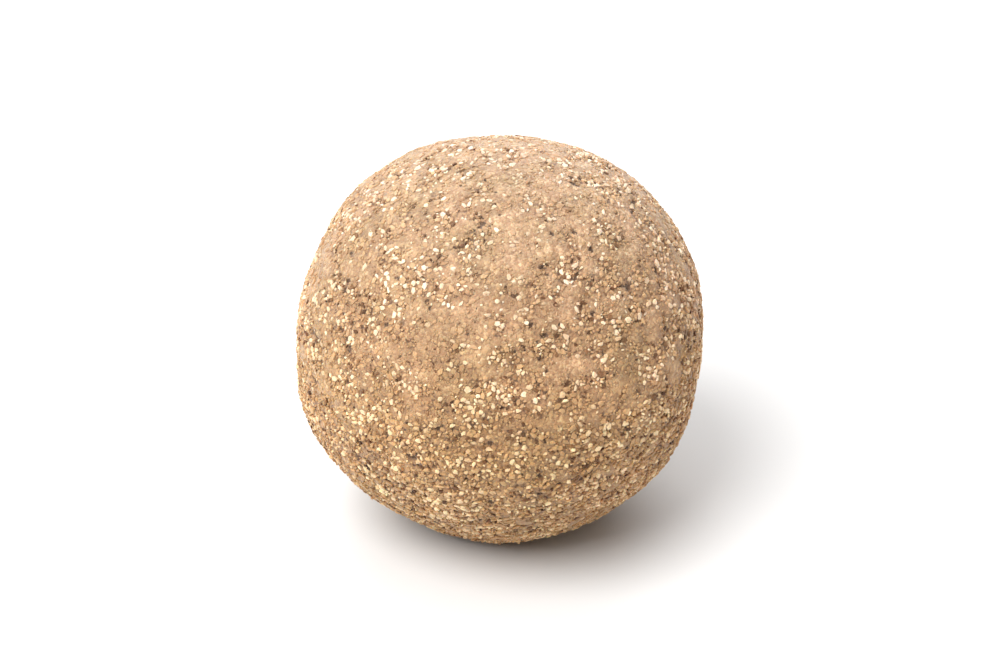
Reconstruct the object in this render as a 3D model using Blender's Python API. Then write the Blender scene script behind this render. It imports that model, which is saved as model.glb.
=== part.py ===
"""Millet laddu: one hand-rolled ball of coarse millet dough, resting on a small flat spot.

Metres, +Z up, front towards -Y. The origin is on the floor, under the middle of the ball's width and depth.
"""

import math
import random

import bmesh
import bpy
from mathutils import Matrix, Vector, noise

NAME = "laddu"

# Driving dimensions
BALL_RADIUS = 0.0204
SETTLED_SHARE = 0.985  # height of the soft ball against its width
REST_SPOT_RADIUS = 0.0052

# The mesh: an icosphere whose triangles are each split into nine, with sides of about 1 mm
SUBDIVISIONS = 4
EDGE_CUTS = 2

# Soft flats that the palms left: azimuth and elevation in degrees, depth, and spread as a share of the radius.
# Azimuth 0 is +X and 90 is +Y. A negative depth is where the dough bulged out between the fingers.
PALM_FLATS = (
    (-3, -6, 0.00088, 0.34),
    (171, 18, 0.00066, 0.26),
    (180, -3, 0.00066, 0.22),
    (-168, -20, -0.00036, 0.24),
    (86, 60, 0.00052, 0.46),
    (112, 48, 0.00030, 0.20),
    (-88, 8, 0.00034, 0.40),
    (-46, 30, 0.00040, 0.30),
    (-134, 24, 0.00036, 0.32),
    (-58, -38, 0.00052, 0.36),
    (-118, -42, 0.00044, 0.34),
    (-74, 66, 0.00030, 0.30),
    (44, 4, 0.00064, 0.34),
    (92, 2, 0.00078, 0.36),
    (136, -10, 0.00060, 0.32),
    (60, -44, 0.00056, 0.34),
    (140, -50, 0.00050, 0.30),
)

# Unevenness of the dough: wavelength and height of each layer
DOUGH_LAYERS = ((0.0150, 0.00028), (0.0062, 0.00016))
LAYER_STEP = Vector((7.3, 3.1, 5.7))  # keeps the layers from lining up

# Coarse grits crowd the skin: each shows as a low rounded bump with a valley round it
GRIT_SPACING = 0.0021
GRIT_HEIGHT = 0.00030

# Shallow hollows where a crumb came off
CHIPS = 26
CHIP_RADIUS = (0.0012, 0.0022)
CHIP_DEPTH = (0.00018, 0.00036)
CHIP_SEED = 11

DOUGH_COLOUR = (0.44, 0.26, 0.135, 1)
DOUGH_ROUGHNESS = 0.72


def clear_scene():
    for obj in list(bpy.data.objects):
        bpy.data.objects.remove(obj, do_unlink=True)


def dough_material():
    material = bpy.data.materials.new("millet_dough")
    material.use_nodes = True
    shader = material.node_tree.nodes["Principled BSDF"]
    shader.inputs["Base Color"].default_value = DOUGH_COLOUR
    shader.inputs["Roughness"].default_value = DOUGH_ROUGHNESS
    shader.inputs["Metallic"].default_value = 0
    material.diffuse_color = DOUGH_COLOUR
    return material


def aim(azimuth, elevation):
    """The unit direction at these angles, in degrees."""
    turn, rise = math.radians(azimuth), math.radians(elevation)
    return Vector((math.cos(rise) * math.cos(turn), math.cos(rise) * math.sin(turn), math.sin(rise)))


def random_direction(draw):
    return Vector((draw.gauss(0, 1), draw.gauss(0, 1), draw.gauss(0, 1))).normalized()


def make_chips():
    """Each chip as its direction from the middle, its radius and its depth."""
    draw = random.Random(CHIP_SEED)
    return [(random_direction(draw), draw.uniform(*CHIP_RADIUS), draw.uniform(*CHIP_DEPTH)) for _ in range(CHIPS)]


def pressed_radius(direction, flats):
    """The round ball, pressed in a little where the palms held it."""
    radius = BALL_RADIUS
    for facing_way, depth, spread in flats:
        away = (direction - facing_way).length / spread
        radius -= depth * math.exp(-away * away)
    return radius


def dough_relief(direction):
    """How far the uneven dough stands out, or in where it is negative."""
    relief = 0.0
    for layer, (wavelength, height) in enumerate(DOUGH_LAYERS):
        relief += height * noise.noise(direction * (BALL_RADIUS / wavelength) + LAYER_STEP * layer)
    return relief


def grit_relief(direction):
    """The bump of the nearest grit: highest on its middle, and none in the valleys between grits."""
    distances, _ = noise.voronoi(direction * (BALL_RADIUS / GRIT_SPACING))
    return GRIT_HEIGHT * (1 - min(distances[0], 1))


def chip_depth(direction, chips):
    """How deep the chips cut at this direction."""
    depth = 0.0
    for middle, radius, deepest in chips:
        away = (direction - middle).length * BALL_RADIUS / radius
        if away < 1:
            depth = max(depth, deepest * (1 - away * away) ** 2)
    return depth


def skin_point(direction, flats, chips):
    """The point of the ball's skin in this direction, from the ball's middle."""
    radius = pressed_radius(direction, flats) + dough_relief(direction)
    radius += grit_relief(direction) - chip_depth(direction, chips)
    point = direction * radius
    point.z *= SETTLED_SHARE
    return point


def rest_height():
    """Height of the ball's middle over its flat spot."""
    return SETTLED_SHARE * math.sqrt(BALL_RADIUS**2 - REST_SPOT_RADIUS**2)


def cut_flat(shape):
    """Cuts away what lies under the floor and closes the cut with one flat face."""
    everything = shape.verts[:] + shape.edges[:] + shape.faces[:]
    cut = bmesh.ops.bisect_plane(
        shape, geom=everything, dist=1e-6, plane_co=(0, 0, 0), plane_no=(0, 0, -1), clear_outer=True
    )
    rim = [part for part in cut["geom_cut"] if isinstance(part, bmesh.types.BMEdge)]
    bmesh.ops.contextual_create(shape, geom=rim)
    bmesh.ops.recalc_face_normals(shape, faces=shape.faces[:])


def make_ball(material):
    """The uneven ball, cut flat underneath, with its middle over the origin."""
    flats = [(aim(azimuth, elevation), depth, spread) for azimuth, elevation, depth, spread in PALM_FLATS]
    chips = make_chips()
    lift = Vector((0, 0, rest_height()))
    shape = bmesh.new()
    bmesh.ops.create_icosphere(shape, subdivisions=SUBDIVISIONS, radius=1)
    bmesh.ops.subdivide_edges(shape, edges=shape.edges[:], cuts=EDGE_CUTS, use_grid_fill=True)
    bmesh.ops.triangulate(shape, faces=shape.faces[:])
    for vertex in shape.verts:
        vertex.co = skin_point(vertex.co.normalized(), flats, chips) + lift
    cut_flat(shape)
    mesh = bpy.data.meshes.new(NAME)
    shape.to_mesh(mesh)
    shape.free()
    mesh.materials.append(material)
    ball = bpy.data.objects.new(NAME, mesh)
    bpy.context.scene.collection.objects.link(ball)
    return ball


def centre_on_origin(ball):
    """Puts the middle of the ball's width and depth over the origin."""
    shift = Vector((0, 0, 0))
    for axis in (0, 1):
        places = [vertex.co[axis] for vertex in ball.data.vertices]
        shift[axis] = -(min(places) + max(places)) / 2
    ball.data.transform(Matrix.Translation(shift))


def main():
    clear_scene()
    ball = make_ball(dough_material())
    centre_on_origin(ball)
    ball.data.shade_smooth()


main()
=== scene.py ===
"""The looks of a millet laddu: pressed coarse dough with pale and brown grits and dark bran in its skin.

Metres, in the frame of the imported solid: +Z up, front towards -Y, resting on the floor at Z 0.
"""

import math
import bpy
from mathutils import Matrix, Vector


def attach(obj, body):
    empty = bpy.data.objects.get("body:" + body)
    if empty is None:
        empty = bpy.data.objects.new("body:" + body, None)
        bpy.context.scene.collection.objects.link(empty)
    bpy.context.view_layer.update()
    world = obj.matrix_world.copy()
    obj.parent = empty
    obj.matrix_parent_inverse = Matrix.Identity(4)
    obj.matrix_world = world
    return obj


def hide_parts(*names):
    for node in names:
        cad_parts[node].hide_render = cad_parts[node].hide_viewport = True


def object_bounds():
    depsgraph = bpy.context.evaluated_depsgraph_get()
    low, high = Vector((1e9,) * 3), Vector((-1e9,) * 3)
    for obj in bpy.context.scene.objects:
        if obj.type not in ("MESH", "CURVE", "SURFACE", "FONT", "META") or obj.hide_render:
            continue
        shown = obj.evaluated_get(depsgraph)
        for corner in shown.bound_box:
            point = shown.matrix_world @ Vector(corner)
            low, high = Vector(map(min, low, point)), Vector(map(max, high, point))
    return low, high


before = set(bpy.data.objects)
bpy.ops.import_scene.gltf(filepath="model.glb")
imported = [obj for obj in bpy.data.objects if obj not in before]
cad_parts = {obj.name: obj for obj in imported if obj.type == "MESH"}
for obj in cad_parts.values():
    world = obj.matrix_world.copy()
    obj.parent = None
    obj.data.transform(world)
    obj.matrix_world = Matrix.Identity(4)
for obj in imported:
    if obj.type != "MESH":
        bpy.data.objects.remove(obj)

from types import SimpleNamespace

import bmesh
import bpy
import numpy as np
from mathutils import Vector, noise
from mathutils.bvhtree import BVHTree

MM = 0.001
SOLID = "laddu"
BODY = "root"

# The ball's form, as in the solid
BALL_RADIUS = 0.0204
SETTLED_SHARE = 0.985  # height of the soft ball against its width
REST_SPOT_RADIUS = 0.0052
PALM_FLATS = (  # azimuth from +X and elevation in degrees, depth, and spread as a share of the radius
    (-3, -6, 0.00088, 0.34),
    (171, 18, 0.00066, 0.26),
    (180, -3, 0.00066, 0.22),
    (-168, -20, -0.00036, 0.24),
    (86, 60, 0.00052, 0.46),
    (112, 48, 0.00030, 0.20),
    (-88, 8, 0.00034, 0.40),
    (-46, 30, 0.00040, 0.30),
    (-134, 24, 0.00036, 0.32),
    (-58, -38, 0.00052, 0.36),
    (-118, -42, 0.00044, 0.34),
    (-74, 66, 0.00030, 0.30),
    (44, 4, 0.00064, 0.34),
    (92, 2, 0.00078, 0.36),
    (136, -10, 0.00060, 0.32),
    (60, -44, 0.00056, 0.34),
    (140, -50, 0.00050, 0.30),
)
DOUGH_LAYERS = ((0.0150, 0.00028), (0.0062, 0.00016))  # wavelength and height
GRIT_SPACING = 0.0021
GRIT_HEIGHT = 0.00030

# Every layer of noise has a number and is shifted by that many steps, which keeps the layers from lining up
LAYER_STEP = Vector((7.3, 3.1, 5.7))
FIRST_FINE_LAYER = len(DOUGH_LAYERS)
FIRST_CRUMBLE_LAYER = 20
FIRST_PATCH_LAYER = 30

# The skin: where it is crumbly the dough lies deep between the grits, elsewhere a film of it covers them
SKIN_QUADS = 128  # along each edge of the six faces of the cube that the skin is blown up from
CHART_MARGIN = 0.012  # left bare round each face's chart, as a share of it
LUMP_SHARE = 0.55  # how much of the solid's coarse bumps the skin keeps
CRUMBLE_BIAS = 0.70
CRUMBLE_LAYERS = ((0.0100, 0.20), (0.0036, 0.38), (0.0017, 0.62))  # wavelength and weight
SMOOTH_TOP = 0.42  # how much smoother the top is than the lower half
SMOOTH_LEVEL = 0.45  # how far up the ball that adds and takes nothing
GAP_DEPTH = 0.17 * MM
FILM_HEIGHT = 0.04 * MM
FINE_LAYERS = ((1.30 * MM, 0.070 * MM), (0.65 * MM, 0.050 * MM))  # wavelength and height

# Pores where crumbs fell out, in clusters, and slits made of a row of them
PORE_SEED = 17
PORE_CLUSTERS = 72
CLUSTER_SIZE = (2, 9)
CLUSTER_REACH = 0.9 * MM
LONE_PORES = 330
PORE_RADIUS = (0.12 * MM, 0.34 * MM)
PORE_DEPTH = (0.20 * MM, 0.40 * MM)
PORE_RIM = 1.2  # a pore's sides run out at this many radii
SMALL_PORE_BIAS = 2  # how much small pores outnumber large ones
SLITS = 10
SLIT_STEP = 0.26 * MM
SLIT_LENGTH = (3, 7)  # in steps
SLIT_WOBBLE = 0.002  # as a share of the ball's radius

# Light on the dough and the grits
SHEEN = 0.18
DARK_SHEEN = 0.04  # of the dark kinds, which would turn grey under more
SHEEN_ROUGHNESS = 0.6
SINKING = 0.35  # the share of the light that sinks into the dough and comes out nearby
SINK_RADIUS = (1.0, 0.5, 0.25)
SINK_DEPTH = 0.5 * MM

# Grits: lengths and how far they stand proud in millimetres, and widths and heights as shares of the length.
# A kind's colours run between two linear reflectances. A cleaner kind is smeared with less dough.
KINDS = (
    SimpleNamespace(name="pale_grits", count=7600, seed=3, cleaner=0.30, sheen=SHEEN,
                    length=(0.25, 0.76), width=(0.55, 0.9), height=(0.5, 0.8), proud=(-0.05, 0.12),
                    colours=((0.68, 0.470, 0.290), (1.0, 0.79, 0.575))),
    SimpleNamespace(name="golden_grits", count=9200, seed=5, cleaner=0, sheen=SHEEN,
                    length=(0.24, 0.80), width=(0.55, 0.9), height=(0.5, 0.8), proud=(-0.11, 0.11),
                    colours=((0.48, 0.292, 0.146), (0.64, 0.415, 0.223))),
    SimpleNamespace(name="brown_grits", count=3500, seed=7, cleaner=0, sheen=DARK_SHEEN,
                    length=(0.24, 0.66), width=(0.5, 0.9), height=(0.4, 0.7), proud=(-0.12, 0.07),
                    colours=((0.125, 0.059, 0.025), (0.32, 0.172, 0.079))),
    SimpleNamespace(name="bran_flecks", count=1750, seed=9, cleaner=0, sheen=DARK_SHEEN,
                    length=(0.22, 0.64), width=(0.35, 0.7), height=(0.16, 0.3), proud=(-0.04, 0.05),
                    colours=((0.055, 0.024, 0.009), (0.17, 0.078, 0.032))),
    SimpleNamespace(name="tan_grits", count=9900, seed=11, cleaner=0, sheen=SHEEN,
                    length=(0.24, 0.75), width=(0.6, 1.0), height=(0.55, 0.85), proud=(-0.12, 0.10),
                    colours=((0.40, 0.236, 0.115), (0.54, 0.34, 0.176))),
    SimpleNamespace(name="flour_grains", count=7600, seed=13, cleaner=0, sheen=SHEEN,
                    length=(0.16, 0.34), width=(0.7, 1.0), height=(0.6, 0.9), proud=(-0.06, 0.08),
                    colours=((0.44, 0.268, 0.134), (0.62, 0.42, 0.236))),
)

# How the grits are dealt over the skin
DEAL_SEED = 23
SMALL_BIAS = 1.7  # how much small grits outnumber large ones
APART = 0.72  # how near grits may lie, as a share of the reach of both
CELL = 1.0 * MM  # longer than any grit, so that only neighbouring cells are searched for near ones
TRIES = 14
GATHERED = "pale_grits"  # the kind that gathers where one layer makes the skin crumbly
GATHER_LAYER = 1
GATHER_CHANCE = 0.5  # of such a grit staying where it falls, on average
GATHER = 0.90  # how much that layer adds to the chance or takes from it
FLOOR_CLEARANCE = 0.0006
OUTWARD = 1.5  # how much more a grit faces out from the ball's middle than off the uneven skin

# How each grit is cut and sunk in the dough
JAG = 0.32  # how far its corners are pushed in or out
CUTS = 6
CUT_REACH = (0.50, 0.85)  # how far from its middle it is cut, in half lengths
CUT_LOSS = 1.25  # makes up for what the cuts take off
TILT = 0.35  # either way, in radians
FACET_LENGTH = 0.36 * MM  # grits longer than this keep their facets
FLATTENED = (0.0, 0.26)  # how much of its height the palms pressed flat
LEAST_PROUD = -0.02 * MM
LOOSE_SHARE = 0.003  # of the grits stand well proud
LOOSE_HEIGHT = 0.16 * MM
BURIED = 0.05 * MM  # how far every grit reaches into the dough
ROOT_CORNERS = -0.3  # the corners under this height are the ones that reach down
LEAST_HEIGHT = 0.1 * MM  # over the floor
STEEP = 0.9  # grits that face up or down more than this are turned by the X axis, the others by Z
CHIP_CHART = 0.46  # radius of a grit's chart, as a share of its cell of the map
PATCH_LAYERS = ((0.0024, 0.20), (0.0010, 0.42))  # the grits' tones drift over patches of these sizes
TONE_SPREAD = 0.92  # how much is left to each grit alone

# Colours of the dough, as linear reflectances
FILM = (0.448, 0.278, 0.148)
FILM_DARK = (0.390, 0.228, 0.113)
FLOUR = (0.62, 0.42, 0.236)
# Partly the binder's own darker brown and partly painted shade where the dough lies deep between the grits
GAP_BINDER_AND_SHADE = (0.345, 0.195, 0.096)
# Painted shade: the dark colour painted in the pores' hollows and the crumb's darkest spots
PORE_SHADE = (0.130, 0.066, 0.031)

# Tints that run over dough and grits alike: the size of their clouds, and where the clouds take which tint
BLOTCHES = 0.0012
BLOTCH_TINTS = ((0.33, (0.82, 0.82, 0.82)), (0.64, (1.0, 1.0, 1.0)))
HUES = 0.0060
HUE_TINTS = ((0.38, (1.0, 0.943, 0.830)), (0.62, (0.99, 0.963, 0.820)))
DRIFT = 0.0035
DRIFT_TINTS = ((0.36, (0.90, 0.895, 0.855)), (0.64, (1.12, 1.125, 1.17)))
PAINTED_LIGHT_BY_HEIGHT = ((0.018, (1.0, 0.955, 0.875)), (0.039, (1.0, 1.055, 1.28)))  # tints by height: a painted sheen that pales and cools the top, and painted warm bounce low down

# The dough's own grain
SPECKLE = 0.30 * MM
SPECKLE_WARP = 0.20 * MM
SPECKLE_TONES = ((0.05, GAP_BINDER_AND_SHADE), (0.3, FILM_DARK), (0.6, FILM), (0.95, FLOUR))
CRUMB = 0.45 * MM
# The crumb's tones darken the dough where the skin is crumbly and lies deep: partly the binder's own colour,
# partly painted shade
CRUMB_TONES = ((0.36, PORE_SHADE), (0.48, GAP_BINDER_AND_SHADE), (0.64, FILM_DARK))
CRUMBLY = (0.25, 0.75)  # the film's tones give way to the crumb's between these
PORE_FRAY = 0.26 * MM
PORE_EDGE = (-0.20, -0.06)
DOUGH_BUMPS = 0.22 * MM
DOUGH_BUMP_DEPTH = 0.10 * MM
PORE_DIP = 2.0  # how much lower the bumps lie in a pore

# The grits' own grain
VEINS = 0.30 * MM
VEIN_TINTS = ((0.3, (0.78, 0.78, 0.78)), (0.7, (1.0, 1.0, 1.0)))
SMEARS = 0.38 * MM
SMEAR = ((0.25, 0.92), (0.90, 0.10))  # by how crumbly the skin is, how much of a grit dough is smeared over
SMEAR_FRAY = (1.8, -0.9)  # how much the clouds change that, and an even part that keeps its mean
SMEAR_EDGE = (0.42, 0.66)
GRIT_BUMPS = 0.14 * MM
GRIT_BUMP_DEPTH = 0.06 * MM

# The floor, the camera and the light. Azimuth 0 is the front here, and 90 the right.
FLOOR_REACH = 6.0
FLOOR_CLOUDS = 0.05
FLOOR_TONES = ((0.0, (0.65, 0.65, 0.65)), (1.0, (0.67, 0.67, 0.67)))
CAMERA_AZIMUTH = 0
CAMERA_ELEVATION = 30
CAMERA_DISTANCE = 0.7
VIEW_WIDTH = 0.098
SENSOR_WIDTH = 36
BACKDROP = ((0.06, (1.0, 1.0, 1.0)), (0.30, (0.0, 0.0, 0.0)), (0.80, (1.42, 1.42, 1.43)))  # by height
DIM_RIGHT = 0.15  # of the backdrop's light is left on the right
LAMPS = (  # name, azimuth, elevation and softness in degrees, strength, colour
    ("key", -45, 50, 46, 3.85, (1.0, 0.995, 0.985)),
    ("back", 178, 40, 50, 1.6, (1.0, 1.0, 1.0)),
    ("bounce", 75, 6, 60, 0.5, (1.0, 0.74, 0.50)),
)


def unit(azimuth, elevation):
    """The direction at these angles, in degrees: azimuth 0 is +X and 90 is +Y."""
    turn, rise = math.radians(azimuth), math.radians(elevation)
    return np.array((math.cos(rise) * math.cos(turn), math.cos(rise) * math.sin(turn), math.sin(rise)))


def random_ways(count, draw):
    """Directions spread evenly over the ball."""
    ways = draw.normal(size=(count, 3))
    return ways / np.linalg.norm(ways, axis=1, keepdims=True)


def noise_over(ways, wavelength, layer):
    """Smooth noise from -1 to 1 over the ball, in features of this size."""
    scale, shift = BALL_RADIUS / wavelength, LAYER_STEP * layer
    return np.array([noise.noise(Vector(way) * scale + shift) for way in ways.tolist()])


def bumps_over(ways, spacing):
    """Rounded bumps from 0 to 1 over the ball, one for each cell of this size."""
    scale = BALL_RADIUS / spacing
    nearest = np.array([noise.voronoi(Vector(way) * scale)[0][0] for way in ways.tolist()])
    return 1 - np.minimum(nearest, 1) ** 2


def pressed_radius(ways):
    """The round ball, pressed in a little where the palms held it."""
    radius = np.full(len(ways), BALL_RADIUS)
    for azimuth, elevation, depth, spread in PALM_FLATS:
        away = np.linalg.norm(ways - unit(azimuth, elevation), axis=1) / spread
        radius -= depth * np.exp(-away * away)
    return radius


def level_over(ways):
    """How far from the ball's middle the tops of the pressed grits lie."""
    radius = pressed_radius(ways)
    for layer, (wavelength, height) in enumerate(DOUGH_LAYERS):
        radius += height * noise_over(ways, wavelength, layer)
    return radius + LUMP_SHARE * GRIT_HEIGHT * bumps_over(ways, GRIT_SPACING)


def crumble_over(ways):
    """From 0, where the skin is pressed smooth, to 1, where it is crumbly."""
    crumble = np.full(len(ways), CRUMBLE_BIAS)
    for layer, (wavelength, share) in enumerate(CRUMBLE_LAYERS, start=FIRST_CRUMBLE_LAYER):
        crumble += share * noise_over(ways, wavelength, layer)
    crumble += SMOOTH_TOP * (SMOOTH_LEVEL - np.maximum(ways[:, 2], 0))
    return np.clip(crumble, 0, 1)


def gap_depth(ways, crumble):
    """How far the dough between the grits lies under their tops."""
    depth = GAP_DEPTH * crumble - FILM_HEIGHT * (1 - crumble)
    for layer, (wavelength, height) in enumerate(FINE_LAYERS, start=FIRST_FINE_LAYER):
        depth += height * noise_over(ways, wavelength, layer)
    return depth


def make_pores():
    """Each pore as its direction from the ball's middle, its radius and its depth."""
    draw = np.random.default_rng(PORE_SEED)
    middles = list(random_ways(LONE_PORES, draw))
    for centre in random_ways(PORE_CLUSTERS, draw):
        for _ in range(draw.integers(*CLUSTER_SIZE)):
            way = centre + draw.normal(size=3) * (CLUSTER_REACH / BALL_RADIUS / 2)
            middles.append(way / np.linalg.norm(way))
    radii = list(PORE_RADIUS[0] + np.ptp(PORE_RADIUS) * draw.uniform(0, 1, len(middles)) ** SMALL_PORE_BIAS)
    for start in random_ways(SLITS, draw):
        step = np.cross(start, random_ways(1, draw)[0])
        step *= SLIT_STEP / BALL_RADIUS / np.linalg.norm(step)
        for place in range(draw.integers(*SLIT_LENGTH)):
            way = start + step * place + random_ways(1, draw)[0] * SLIT_WOBBLE
            middles.append(way / np.linalg.norm(way))
            radii.append(PORE_RADIUS[0])
    depths = draw.uniform(*PORE_DEPTH, len(middles))
    return list(zip(middles, radii, depths))


def pore_depth(ways, pores):
    """How deep the pores go at each of these directions."""
    depth = np.zeros(len(ways))
    for middle, radius, deepest in pores:
        away = np.linalg.norm(ways - middle, axis=1) * BALL_RADIUS / radius
        near = away < PORE_RIM
        depth[near] = np.maximum(depth[near], deepest * (1 - (away[near] / PORE_RIM) ** 2))
    return depth


def cube_sphere(quads):
    """A sphere's directions and quads, with a chart for each of the cube's six faces."""
    steps = np.tan(np.linspace(-math.pi / 4, math.pi / 4, quads + 1))
    across, up = np.meshgrid(steps, steps)
    one = np.ones_like(across)
    sides = (
        (one, across, up),
        (-one, -across, up),
        (-across, one, up),
        (across, -one, up),
        (-up, across, one),
        (up, across, -one),
    )
    chart_columns, chart_rows = 3, 2
    at = np.arange((quads + 1) ** 2).reshape(quads + 1, quads + 1)
    corners = np.stack((at[:-1, :-1], at[:-1, 1:], at[1:, 1:], at[1:, :-1]), axis=-1).reshape(-1, 4)
    spot = np.linspace(0, 1, quads + 1)
    grid = np.stack(np.meshgrid(spot, spot), axis=-1).reshape(-1, 2) * (1 - 2 * CHART_MARGIN) + CHART_MARGIN
    ways, faces, charts = [], [], []
    for index, side in enumerate(sides):
        way = np.stack(side, axis=-1).reshape(-1, 3)
        ways.append(way / np.linalg.norm(way, axis=1, keepdims=True))
        faces.append(corners + index * len(way))
        row, column = divmod(index, chart_columns)
        charts.append(((grid + (column, row)) / (chart_columns, chart_rows))[corners])
    return np.concatenate(ways), np.concatenate(faces), np.concatenate(charts)


def new_piece(name, points, faces, uvs, material):
    """A mesh piece of the laddu, with its own map for the bake."""
    mesh = bpy.data.meshes.new(name)
    mesh.from_pydata(points.tolist(), [], faces.tolist())
    layer = mesh.uv_layers.new(name="OFBake")
    layer.data.foreach_set("uv", uvs.reshape(-1).astype(np.float32))
    mesh.materials.append(material)
    mesh.shade_smooth()
    piece = bpy.data.objects.new(name, mesh)
    bpy.context.scene.collection.objects.link(piece)
    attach(piece, BODY)
    return piece


def mark_points(mesh, name, values):
    """Gives every point of the mesh a number for its material."""
    mesh.attributes.new(name, "FLOAT", "POINT").data.foreach_set("value", values.astype(np.float32))


def weld(mesh):
    """Joins the six faces of the cube along their edges."""
    shape = bmesh.new()
    shape.from_mesh(mesh)
    bmesh.ops.remove_doubles(shape, verts=shape.verts[:], dist=1e-6)
    shape.to_mesh(mesh)
    shape.free()


def rest_height():
    """Height of the ball's middle over its flat spot."""
    return SETTLED_SHARE * math.sqrt(BALL_RADIUS**2 - REST_SPOT_RADIUS**2)


def make_dough(pores, material):
    """The ball's skin of pressed dough, with its flat spot, and where the ball's middle is."""
    ways, faces, uvs = cube_sphere(SKIN_QUADS)
    crumble = crumble_over(ways)
    pore = pore_depth(ways, pores)
    points = ways * (level_over(ways) - gap_depth(ways, crumble) - pore)[:, None]
    points[:, 2] *= SETTLED_SHARE
    drop = rest_height()
    under = points[:, 2] < -drop
    points[under] *= (-drop / points[under, 2])[:, None]
    shift = (points.min(axis=0) + points.max(axis=0)) / 2
    shift[2] = -drop
    points -= shift
    piece = new_piece("dough", points, faces, uvs, material)
    mark_points(piece.data, "crumble", crumble)
    mark_points(piece.data, "pore", np.clip(pore / PORE_DEPTH[1], 0, 1))
    weld(piece.data)
    return piece, -shift


class Ground:
    """Remembers which spots of the skin are taken."""

    def __init__(self):
        self.taken = {}

    def cell_of(self, spot):
        return tuple(int(math.floor(value / CELL)) for value in spot)

    def is_free(self, spot, reach):
        x, y, z = self.cell_of(spot)
        for key in ((x + i, y + j, z + k) for i in (-1, 0, 1) for j in (-1, 0, 1) for k in (-1, 0, 1)):
            for other, other_reach in self.taken.get(key, ()):
                if math.dist(spot, other) < (reach + other_reach) * APART:
                    return False
        return True

    def take(self, spot, reach):
        self.taken.setdefault(self.cell_of(spot), []).append((spot, reach))


def gathering(way):
    """How crumbly the layer that the pale grits follow makes the skin here, from -1 to 1."""
    wavelength, _ = CRUMBLE_LAYERS[GATHER_LAYER]
    shift = LAYER_STEP * (FIRST_CRUMBLE_LAYER + GATHER_LAYER)
    return noise.noise(Vector(way) * (BALL_RADIUS / wavelength) + shift)


def deal_grits(pores, tree, middle):
    """Lays the grits, the longest first: for each kind a list of point, way out, length and direction."""
    ground = Ground()
    for way, radius, _ in pores:
        ground.take(tuple(way * BALL_RADIUS), radius)
    draw = np.random.default_rng(DEAL_SEED)
    lengths, kinds = [], []
    for index, kind in enumerate(KINDS):
        shortest, longest = kind.length
        lengths.append((shortest + (longest - shortest) * draw.uniform(0, 1, kind.count) ** SMALL_BIAS) * MM)
        kinds.append(np.full(kind.count, index))
    lengths, kinds = np.concatenate(lengths), np.concatenate(kinds)
    order = np.argsort(-lengths)
    dealt = [[] for _ in KINDS]
    for length, kind in zip(lengths[order].tolist(), kinds[order].tolist()):
        gathers = KINDS[kind].name == GATHERED
        for way in random_ways(TRIES, draw).tolist():
            spot = tuple(value * BALL_RADIUS for value in way)
            if not ground.is_free(spot, length / 2):
                continue
            if gathers and draw.uniform() > GATHER_CHANCE + GATHER * gathering(way):
                continue
            hit, normal, _, _ = tree.ray_cast(middle + Vector(way) * 2 * BALL_RADIUS, -Vector(way))
            if hit is None or hit.z < FLOOR_CLEARANCE:
                continue
            ground.take(spot, length / 2)
            out = (Vector(way) * OUTWARD + normal).normalized()
            dealt[kind].append((tuple(hit), tuple(out), length, way))
            break
    return dealt


def base_chip():
    """An icosahedron's corners and faces, and a flat map of it in a unit disc for the bake."""
    shape = bmesh.new()
    bmesh.ops.create_icosphere(shape, subdivisions=1, radius=1)
    corners = np.array([tuple(vertex.co) for vertex in shape.verts])
    faces = np.array([[vertex.index for vertex in face.verts] for face in shape.faces])
    shape.free()
    corners /= np.linalg.norm(corners, axis=1, keepdims=True)
    chart = np.zeros((len(faces), 3, 2))
    for at, face in enumerate(faces):
        centre = corners[face].mean(axis=0)
        for place, corner in enumerate(corners[face]):
            away = math.acos(max(-1, min(1, corner[2]))) / math.pi
            guide = centre if abs(corner[2]) > 0.999 else corner  # a pole has no bearing of its own
            turn = math.atan2(guide[1], guide[0])
            chart[at, place] = (away * math.cos(turn), away * math.sin(turn))
    return corners, faces, chart


def turned(first, second, angles):
    """Two coordinates of every grit's corners, turned by the grit's own angle."""
    cos, sin = np.cos(angles)[:, None], np.sin(angles)[:, None]
    return first * cos - second * sin, first * sin + second * cos


def cut_chips(kind, lengths, corners, draw):
    """Angular chips of these lengths about the origin, and their heights as shares of the lengths."""
    count = len(lengths)
    shapes = corners[None] * draw.uniform(1 - JAG, 1 + JAG, (count, len(corners), 1))
    for _ in range(CUTS):
        cut = random_ways(count, draw)
        over = np.einsum("nij,nj->ni", shapes, cut) - draw.uniform(*CUT_REACH, count)[:, None]
        shapes -= np.maximum(over, 0)[:, :, None] * cut[:, None, :]
    sizes = np.ones((count, 3))
    sizes[:, 1] = draw.uniform(*kind.width, count)
    sizes[:, 2] = draw.uniform(*kind.height, count)
    shapes *= (sizes * lengths[:, None] / 2)[:, None, :] * CUT_LOSS
    return shapes, sizes[:, 2]


def sink_chips(z, corners, top, flattened):
    """The corners' heights, with each grit's top pressed flat at this level and its root in the dough."""
    z = np.minimum(z - z.max(axis=1, keepdims=True) + (top + flattened)[:, None], top[:, None])
    root = np.minimum(-BURIED, z.min(axis=1))
    below = corners[:, 2] < ROOT_CORNERS
    z[:, below] = np.minimum(z[:, below], root[:, None])
    return z


def place_chips(spots, outs, x, y, z):
    """The corners' points, with each grit on its spot of the skin and its Z axis out of the dough."""
    guide = np.where(np.abs(outs[:, 2:]) > STEEP, (1.0, 0, 0), (0, 0, 1.0))
    side = np.cross(guide, outs)
    side /= np.linalg.norm(side, axis=1, keepdims=True)
    ahead = np.cross(outs, side)
    points = (
        spots[:, None]
        + x[..., None] * side[:, None]
        + y[..., None] * ahead[:, None]
        + z[..., None] * outs[:, None]
    )
    points[..., 2] = np.maximum(points[..., 2], LEAST_HEIGHT)
    return points


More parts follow.
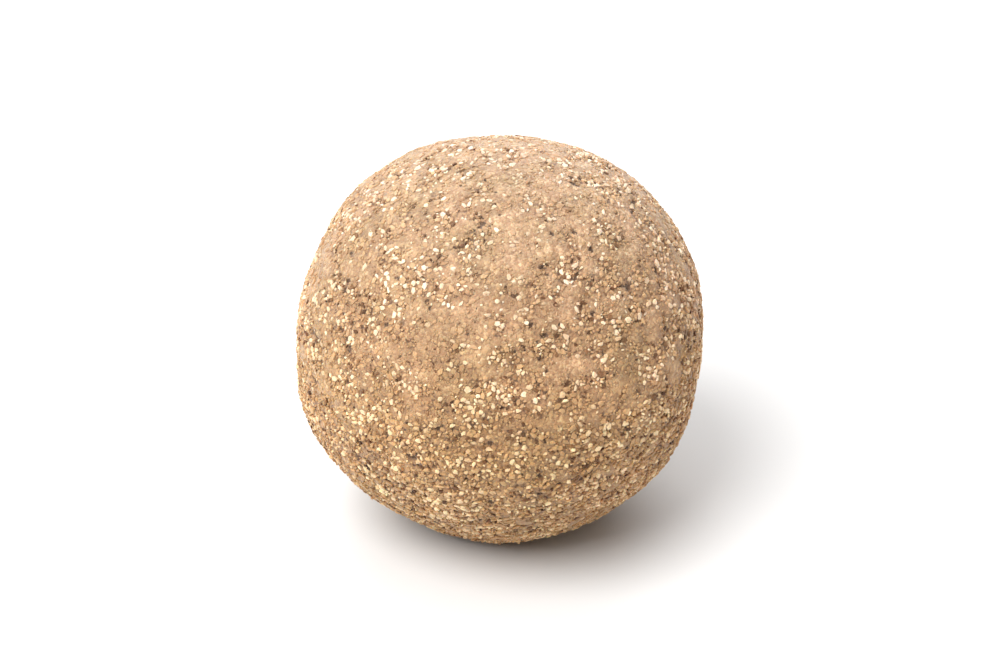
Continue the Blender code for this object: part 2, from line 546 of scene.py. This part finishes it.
def make_grits(kind, found, material):
    """All grits of a kind as one mesh: angular chips, sunk in the skin."""
    draw = np.random.default_rng(kind.seed)
    count = len(found)
    spots, outs, lengths, ways = (np.array(part) for part in zip(*found))
    corners, faces, chart = base_chip()
    shapes, heights = cut_chips(kind, lengths, corners, draw)
    tilt = draw.uniform(-TILT, TILT, count)
    spin = draw.uniform(0, math.tau, count)
    x, y, z = shapes[:, :, 0], shapes[:, :, 1], shapes[:, :, 2]
    y, z = turned(y, z, tilt)
    crumble = crumble_over(ways)
    top = gap_depth(ways, crumble) + draw.uniform(*kind.proud, count) * MM
    top += np.where(draw.uniform(0, 1, count) < LOOSE_SHARE, LOOSE_HEIGHT, 0)
    top = np.maximum(top, LEAST_PROUD)
    z = sink_chips(z, corners, top, draw.uniform(*FLATTENED, count) * lengths * heights)
    x, y = turned(x, y, spin)
    points = place_chips(spots, outs, x, y, z)
    all_faces = (faces[None] + (np.arange(count) * len(corners))[:, None, None]).reshape(-1, 3)
    columns = math.ceil(math.sqrt(count))
    cells = np.stack((np.arange(count) % columns, np.arange(count) // columns), axis=-1)
    uvs = (chart[None] * CHIP_CHART + 0.5 + cells[:, None, None, :]) / columns
    piece = new_piece(kind.name, points.reshape(-1, 3), all_faces, uvs, material)
    tint = 0.5 + TONE_SPREAD * draw.uniform(-0.5, 0.5, count)
    for layer, (wavelength, share) in enumerate(PATCH_LAYERS, start=FIRST_PATCH_LAYER):
        tint += share * noise_over(ways, wavelength, layer)
    mark_points(piece.data, "tint", np.repeat(np.clip(tint, 0, 1), len(corners)))
    mark_points(piece.data, "crumble", np.repeat(crumble, len(corners)))
    piece.data.polygons.foreach_set("use_smooth", np.repeat(lengths < FACET_LENGTH, len(faces)))


def new_material(name):
    """A material with its nodes, links, shader and the place on the object."""
    material = bpy.data.materials.new(name)
    material.use_nodes = True
    nodes, links = material.node_tree.nodes, material.node_tree.links
    place = nodes.new("ShaderNodeTexCoord").outputs["Object"]
    return material, nodes, links, nodes["Principled BSDF"], place


def set_finish(shader, roughness, specular, sheen=0.0, sinking=0.0):
    """Numbers that are the same all over the surface."""
    shader.inputs["Roughness"].default_value = roughness
    shader.inputs["Specular IOR Level"].default_value = specular
    shader.inputs["Sheen Weight"].default_value = sheen
    shader.inputs["Sheen Roughness"].default_value = SHEEN_ROUGHNESS
    shader.inputs["Subsurface Weight"].default_value = sinking
    shader.inputs["Subsurface Radius"].default_value = SINK_RADIUS
    shader.inputs["Subsurface Scale"].default_value = SINK_DEPTH


def graded(nodes, links, value, stops, interpolation="LINEAR"):
    """A colour that runs through these stops as the value rises."""
    node = nodes.new("ShaderNodeValToRGB")
    node.color_ramp.interpolation = interpolation
    elements = node.color_ramp.elements
    while len(elements) > 1:
        elements.remove(elements[-1])
    for index, (position, colour) in enumerate(stops):
        element = elements[0] if index == 0 else elements.new(position)
        element.position = position
        element.color = (*colour, 1)
    links.new(value, node.inputs["Fac"])
    return node.outputs["Color"]


def mix(nodes, links, factor, first, second, blend="MIX"):
    """Two colours mixed, where each input is a colour, a number or a socket."""
    node = nodes.new("ShaderNodeMix")
    node.data_type = "RGBA"
    node.blend_type = blend
    sockets = (node.inputs["Factor"], node.inputs[6], node.inputs[7])  # 6 and 7 are the colours A and B
    for socket, value in zip(sockets, (factor, first, second)):
        if isinstance(value, bpy.types.NodeSocket):
            links.new(value, socket)
        elif isinstance(value, tuple):
            socket.default_value = (*value, 1)
        else:
            socket.default_value = value
    return node.outputs[2]


def remapped(nodes, links, value, low, high, new_low=0.0, new_high=1.0):
    """The value, taken from one range to another."""
    node = nodes.new("ShaderNodeMapRange")
    links.new(value, node.inputs["Value"])
    for name, bound in (("From Min", low), ("From Max", high), ("To Min", new_low), ("To Max", new_high)):
        node.inputs[name].default_value = bound
    return node.outputs["Result"]


def calculate(nodes, links, operation, *values):
    """A sum, product or the like of numbers and sockets."""
    node = nodes.new("ShaderNodeMath")
    node.operation = operation
    for socket, value in zip(node.inputs, values):
        if isinstance(value, bpy.types.NodeSocket):
            links.new(value, socket)
        else:
            socket.default_value = value
    return node.outputs["Value"]


def attribute(nodes, name):
    """A number that the mesh's points carry."""
    node = nodes.new("ShaderNodeAttribute")
    node.attribute_name = name
    return node.outputs["Fac"]


def split_vector(nodes, links, vector):
    node = nodes.new("ShaderNodeSeparateXYZ")
    links.new(vector, node.inputs["Vector"])
    return node.outputs


def grains_of(nodes, links, place, size):
    """Cells of this size, each with a random colour and the distance from its middle."""
    node = nodes.new("ShaderNodeTexVoronoi")
    node.inputs["Scale"].default_value = 1 / size
    links.new(place, node.inputs["Vector"])
    return node.outputs


def cloud_node(nodes, links, place, size, detail, roughness):
    node = nodes.new("ShaderNodeTexNoise")
    node.inputs["Scale"].default_value = 1 / size
    node.inputs["Detail"].default_value = detail
    node.inputs["Roughness"].default_value = roughness
    links.new(place, node.inputs["Vector"])
    return node.outputs


def clouds(nodes, links, place, size, detail=2.0, roughness=0.5):
    """Smooth noise from 0 to 1, in features of this size."""
    return cloud_node(nodes, links, place, size, detail, roughness)["Fac"]


def warped(nodes, links, place, size, amount):
    """The place, pushed about by noise, so that what is drawn on it loses its regular edges."""
    push = cloud_node(nodes, links, place, size, 1.0, 0.5)["Color"]
    scaled = nodes.new("ShaderNodeVectorMath")
    scaled.operation = "MULTIPLY_ADD"
    links.new(push, scaled.inputs[0])
    scaled.inputs[1].default_value = (amount, amount, amount)
    links.new(place, scaled.inputs[2])
    return scaled.outputs["Vector"]


def tinted(nodes, links, colour, cloud, tints):
    """The colour, multiplied by the tint that the cloud takes at each place."""
    return mix(nodes, links, 1.0, colour, graded(nodes, links, cloud, tints), "MULTIPLY")


def mottled_and_painted_light(nodes, links, place, colour):
    """The colour with the ball's own blotches, which run over dough and grits alike, and painted light by
    height: a painted sheen that pales the top and painted warm bounce low down.
    """
    blotches = clouds(nodes, links, place, BLOTCHES, roughness=0.6)
    colour = tinted(nodes, links, colour, blotches, BLOTCH_TINTS)
    colour = tinted(nodes, links, colour, clouds(nodes, links, place, HUES), HUE_TINTS)
    colour = tinted(nodes, links, colour, clouds(nodes, links, place, DRIFT), DRIFT_TINTS)
    # Painted light: the top is tinted paler and cooler, as a sheen would light it, and the lower part
    # warmer, as warm bounce would
    (low, painted_low_bounce), (high, painted_top_sheen) = PAINTED_LIGHT_BY_HEIGHT
    painted_light_share = remapped(nodes, links, split_vector(nodes, links, place)["Z"], low, high)
    return mix(nodes, links, 1.0, colour, mix(nodes, links, painted_light_share, painted_low_bounce, painted_top_sheen), "MULTIPLY")


def roughen(nodes, links, shader, height, strength, depth):
    """Makes the surface as bumpy as this height says."""
    bump = nodes.new("ShaderNodeBump")
    bump.inputs["Strength"].default_value = strength
    bump.inputs["Distance"].default_value = depth
    links.new(height, bump.inputs["Height"])
    links.new(bump.outputs["Normal"], shader.inputs["Normal"])


def dough_material():
    """Pressed flour: a pale film where it covers the grits, darker down in the gaps between them, partly the
    binder's own colour and partly painted shade, and painted shade in the pores.
    """
    material, nodes, links, shader, place = new_material("millet_dough_skin")
    speckle_place = warped(nodes, links, place, SPECKLE, SPECKLE_WARP)
    grains = grains_of(nodes, links, speckle_place, SPECKLE)
    split = nodes.new("ShaderNodeSeparateColor")
    links.new(grains["Color"], split.inputs["Color"])
    film = graded(nodes, links, split.outputs["Red"], SPECKLE_TONES)
    crumb = clouds(nodes, links, speckle_place, CRUMB, detail=3, roughness=0.65)
    # Where the skin is crumbly the dough lies deep and is painted darker: partly its binder's colour, partly
    # painted shade
    deep = remapped(nodes, links, attribute(nodes, "crumble"), *CRUMBLY)
    colour = mix(nodes, links, deep, film, graded(nodes, links, crumb, CRUMB_TONES))
    # Painted shade: the pores' hollows are painted dark
    ragged = clouds(nodes, links, place, PORE_FRAY, detail=3, roughness=0.6)
    hole = calculate(nodes, links, "MULTIPLY_ADD", ragged, -1.0, attribute(nodes, "pore"))
    hole = remapped(nodes, links, hole, *PORE_EDGE)
    colour = mottled_and_painted_light(nodes, links, place, mix(nodes, links, hole, colour, PORE_SHADE))
    links.new(colour, shader.inputs["Base Color"])
    fine = clouds(nodes, links, place, DOUGH_BUMPS, roughness=0.6)
    height = calculate(nodes, links, "SUBTRACT", fine, grains["Distance"])
    height = calculate(nodes, links, "MULTIPLY_ADD", hole, -PORE_DIP, height)
    roughen(nodes, links, shader, height, strength=0.9, depth=DOUGH_BUMP_DEPTH)
    set_finish(shader, roughness=0.68, specular=0.5, sheen=SHEEN, sinking=SINKING)
    return material


def grit_material(kind):
    """A kind of grit, each with its own tone between two colours, faint veins and a smear of dough."""
    material, nodes, links, shader, place = new_material(kind.name + "_skin")
    colour = mix(nodes, links, attribute(nodes, "tint"), *kind.colours)
    colour = tinted(nodes, links, colour, clouds(nodes, links, place, VEINS), VEIN_TINTS)
    (smooth, most), (crumbly, least) = SMEAR
    rubbed = remapped(nodes, links, attribute(nodes, "crumble"), smooth, crumbly, most, least)
    fray, even = SMEAR_FRAY
    ragged = clouds(nodes, links, place, SMEARS, roughness=0.6)
    ragged = calculate(nodes, links, "MULTIPLY_ADD", ragged, fray, even - kind.cleaner)
    smear = remapped(nodes, links, calculate(nodes, links, "ADD", rubbed, ragged), *SMEAR_EDGE)
    colour = mottled_and_painted_light(nodes, links, place, mix(nodes, links, smear, colour, FILM))
    links.new(colour, shader.inputs["Base Color"])
    fine = clouds(nodes, links, place, GRIT_BUMPS)
    roughen(nodes, links, shader, fine, strength=0.5, depth=GRIT_BUMP_DEPTH)
    set_finish(shader, roughness=0.58, specular=0.3, sheen=kind.sheen, sinking=SINKING)
    return material


def make_laddu():
    pores = make_pores()
    dough, middle = make_dough(pores, dough_material())
    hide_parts(SOLID)
    tree = BVHTree.FromObject(dough, bpy.context.evaluated_depsgraph_get())
    for kind, found in zip(KINDS, deal_grits(pores, tree, Vector(middle.tolist()))):
        make_grits(kind, found, grit_material(kind))


def make_floor():
    """A plain pale floor."""
    mesh = bpy.data.meshes.new("floor")
    corners = [(x * FLOOR_REACH, y * FLOOR_REACH, 0) for x, y in ((-1, -1), (1, -1), (1, 1), (-1, 1))]
    mesh.from_pydata(corners, [], [(0, 1, 2, 3)])
    floor = bpy.data.objects.new("floor", mesh)
    bpy.context.scene.collection.objects.link(floor)
    material, nodes, links, shader, place = new_material("pale_floor")
    tone = graded(nodes, links, clouds(nodes, links, place, FLOOR_CLOUDS), FLOOR_TONES)
    links.new(tone, shader.inputs["Base Color"])
    set_finish(shader, roughness=0.9, specular=0.1)
    mesh.materials.append(material)


def facing_in(azimuth, elevation):
    """The direction at these angles from the laddu, and the rotation that faces back in from there."""
    turn, rise = math.radians(azimuth), math.radians(elevation)
    back = Vector((math.sin(turn) * math.cos(rise), -math.cos(turn) * math.cos(rise), math.sin(rise)))
    return back, (-back).to_track_quat("-Z", "Y").to_euler()


def make_lamp(name, azimuth, elevation, softness, strength, colour):
    """A soft far lamp, so that the floor is as bright far off as near the laddu."""
    lamp = bpy.data.lights.new(name, "SUN")
    lamp.angle = math.radians(softness)
    lamp.energy = strength
    lamp.color = colour
    holder = bpy.data.objects.new(name, lamp)
    _, holder.rotation_euler = facing_in(azimuth, elevation)
    bpy.context.scene.collection.objects.link(holder)


def make_world():
    """A pale backdrop: white near the horizon and overhead, and dimmer towards the right."""
    world = bpy.data.worlds.new("backdrop")
    world.use_nodes = True
    bpy.context.scene.world = world
    nodes, links = world.node_tree.nodes, world.node_tree.links
    way = split_vector(nodes, links, nodes.new("ShaderNodeTexCoord").outputs["Generated"])
    background = nodes["Background"]
    links.new(graded(nodes, links, way["Z"], BACKDROP, "EASE"), background.inputs["Color"])
    links.new(remapped(nodes, links, way["X"], 0.0, 1.0, 1.0, DIM_RIGHT), background.inputs["Strength"])


def make_camera(target):
    data = bpy.data.cameras.new("camera")
    data.sensor_width = SENSOR_WIDTH
    data.lens = SENSOR_WIDTH * CAMERA_DISTANCE / VIEW_WIDTH
    data.clip_start, data.clip_end = 0.01, 20
    camera = bpy.data.objects.new("camera", data)
    back, camera.rotation_euler = facing_in(CAMERA_AZIMUTH, CAMERA_ELEVATION)
    camera.location = target + back * CAMERA_DISTANCE
    bpy.context.scene.collection.objects.link(camera)
    bpy.context.scene.camera = camera


cad_box = [list(corner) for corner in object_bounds()]
low, high = (Vector(corner) for corner in cad_box)
make_laddu()
make_floor()
for lamp in LAMPS:
    make_lamp(*lamp)
make_world()
make_camera((low + high) / 2)
bpy.context.scene.view_settings.view_transform = "Standard"
